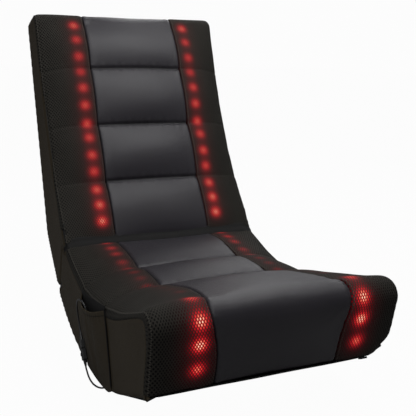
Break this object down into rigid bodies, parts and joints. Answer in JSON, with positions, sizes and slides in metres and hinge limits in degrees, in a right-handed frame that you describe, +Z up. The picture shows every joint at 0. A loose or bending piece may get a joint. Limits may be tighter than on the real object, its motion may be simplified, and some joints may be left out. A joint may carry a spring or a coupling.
{
  "type": "gaming rocker chair",
  "caption": "Folding floor rocker chair: upholstered seat on a curved base, hinged back with padded channels, lit mesh sides, side pocket and inline light controller.",
  "frame": {"origin": "middle of the short flat on the curved underside on which the chair rests", "axes": "+Z up, the chair faces -Y, +X to the sitter's left"},
  "size_m": [0.4483, 0.8774, 0.668],
  "materials": {
    "plywood": "raw plywood, hidden",
    "backing_board": "raw board, hidden",
    "centre_panel": "coated fabric with a fine leather grain, semi-matt",
    "side_mesh": "spacer mesh",
    "boxing": "coated upholstery fabric, matt",
    "wrap_fabric": "woven cover, matt",
    "binding": "woven binding",
    "light_strip": "translucent red diffusers",
    "hinge_steel": "zinc plated",
    "lead_rubber": "matt",
    "controller_plastic": "fine spark texture",
    "button_plastic": "satin",
    "plug_steel": "nickel plated",
    "zip_fabric": "woven tape with a nylon coil",
    "zip_metal": "satin black"
  },
  "bodies": {
    "seat": {"controller_case_back": "controller_plastic", "controller_case_front": "controller_plastic", "cover_zip": "zip_fabric", "hinge_pin_left": "hinge_steel", "hinge_pin_right": "hinge_steel", "hinge_seat_leaf_left": "hinge_steel", "hinge_seat_leaf_right": "hinge_steel", "hinge_seat_screws": "hinge_steel", "lead_connector": "controller_plastic", "lead_grommet": "lead_rubber", "lead_lower": "lead_rubber", "lead_relief_foot": "lead_rubber", "lead_relief_top": "lead_rubber", "lead_upper": "lead_rubber", "plug_grip": "controller_plastic", "plug_shell": "plug_steel", "pocket_binding": "binding", "pocket_hem": "binding", "pocket_panel": "boxing", "seat_centre_pad": "centre_panel", "seat_deck_front": "plywood", "seat_deck_rear": "plywood", "seat_front_rail": "plywood", "seat_light_strip_left": "light_strip", "seat_light_strip_right": "light_strip", "seat_mesh_pad_left": "side_mesh", "seat_mesh_pad_right": "side_mesh", "seat_middle_rail": "plywood", "seat_rear_rail": "plywood", "seat_side_board_left": "plywood", "seat_side_board_right": "plywood", "seat_side_cover_left": "boxing", "seat_side_cover_right": "boxing", "seat_underside_cover": "boxing"},
    "back": {"back_centre_pad": "centre_panel", "back_light_strip_left": "light_strip", "back_light_strip_right": "light_strip", "back_lower_rail": "backing_board", "back_mesh_pad_left": "side_mesh", "back_mesh_pad_right": "side_mesh", "back_middle_rail": "backing_board", "back_rear_cover": "wrap_fabric", "back_side_board_left": "backing_board", "back_side_board_right": "backing_board", "back_side_cover_left": "boxing", "back_side_cover_right": "boxing", "back_support_board": "backing_board", "back_top_rail": "backing_board", "hinge_back_leaf_left": "hinge_steel", "hinge_back_leaf_right": "hinge_steel", "hinge_back_screws": "hinge_steel"},
    "controller_button": {"controller_button": "button_plastic"},
    "zip_slider": {"zip_slider": "zip_metal"}
  },
  "joints": [
    {"name": "back_fold", "type": "hinge", "parent": "seat", "child": "back", "pos_m": [0, 0.169, 0.1935], "axis": [1, 0, 0], "range_deg": [0, 95]},
    {"name": "button_press", "type": "slide", "parent": "seat", "child": "controller_button", "axis": [1, 0, 0], "range_m": [0, 0.001], "stiffness_N_per_m": 300, "springref_m": -0.0005},
    {"name": "zip_open", "type": "slide", "parent": "seat", "child": "zip_slider", "axis": [1, 0, 0], "range_m": [-0.352, 0]}
  ]
}
